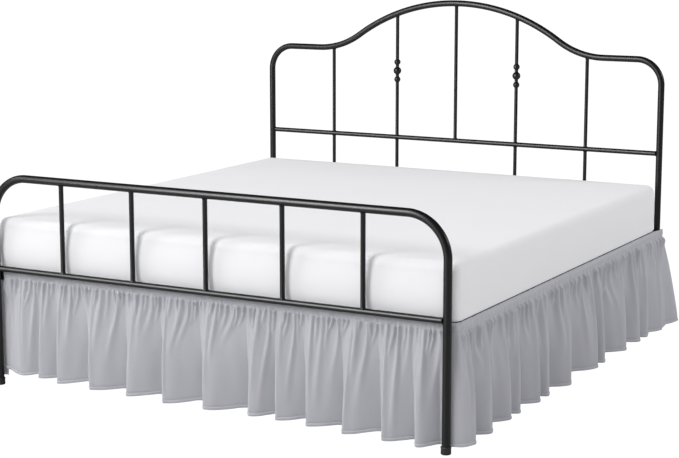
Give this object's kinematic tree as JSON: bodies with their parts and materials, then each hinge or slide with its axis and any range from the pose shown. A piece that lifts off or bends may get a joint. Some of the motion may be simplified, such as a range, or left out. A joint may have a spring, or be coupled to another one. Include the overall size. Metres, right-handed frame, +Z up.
{
  "type": "bed skirt on a metal bed with a mattress",
  "caption": "Gathered cloth skirt with a heading band, hanging round the foot and both sides of a tubular metal bed with an arched headboard and a plain mattress.",
  "frame": {"origin": "on the floor under the middle of the whole object's box", "axes": "+Z up, +Y from the footboard to the headboard along the longest extent, +X to the right seen from the foot"},
  "size_m": [2.078, 2.2451, 1.413],
  "materials": {
    "skirt_cloth": "matt woven microfibre",
    "mattress_cover": "matt knitted cover",
    "black_metal": "satin powder coat",
    "cap_plastic": "matt moulded"
  },
  "bodies": {
    "root": {"footboard_hoop": "black_metal", "footboard_low_rail": "black_metal", "footboard_upright_1": "black_metal", "footboard_upright_2": "black_metal", "footboard_upright_3": "black_metal", "footboard_upright_4": "black_metal", "footboard_upright_5": "black_metal", "headboard_arch": "black_metal", "headboard_cross_bar": "black_metal", "headboard_low_rail": "black_metal", "headboard_upright_1": "black_metal", "headboard_upright_2": "black_metal", "headboard_upright_3": "black_metal", "headboard_upright_4": "black_metal", "headboard_upright_5": "black_metal", "headboard_lower_upright_1": "black_metal", "headboard_lower_upright_2": "black_metal", "headboard_lower_upright_4": "black_metal", "headboard_lower_upright_5": "black_metal", "side_rail_left": "black_metal", "side_rail_right": "black_metal", "rail_hook_left": "black_metal", "rail_hook_right": "black_metal", "foot_cross_rail": "black_metal", "centre_rail": "black_metal", "centre_leg_1": "black_metal", "centre_leg_2": "black_metal", "slat_1": "black_metal", "slat_2": "black_metal", "slat_3": "black_metal", "slat_4": "black_metal", "slat_5": "black_metal", "slat_6": "black_metal", "slat_7": "black_metal", "slat_8": "black_metal", "slat_9": "black_metal", "foot_cap_left": "cap_plastic", "foot_cap_right": "cap_plastic", "head_cap_left": "cap_plastic", "head_cap_right": "cap_plastic", "mattress": "mattress_cover", "ruffle_foot": "skirt_cloth", "ruffle_right": "skirt_cloth", "ruffle_left": "skirt_cloth", "band_foot": "skirt_cloth", "band_right": "skirt_cloth", "band_left": "skirt_cloth"}
  },
  "joints": []
}
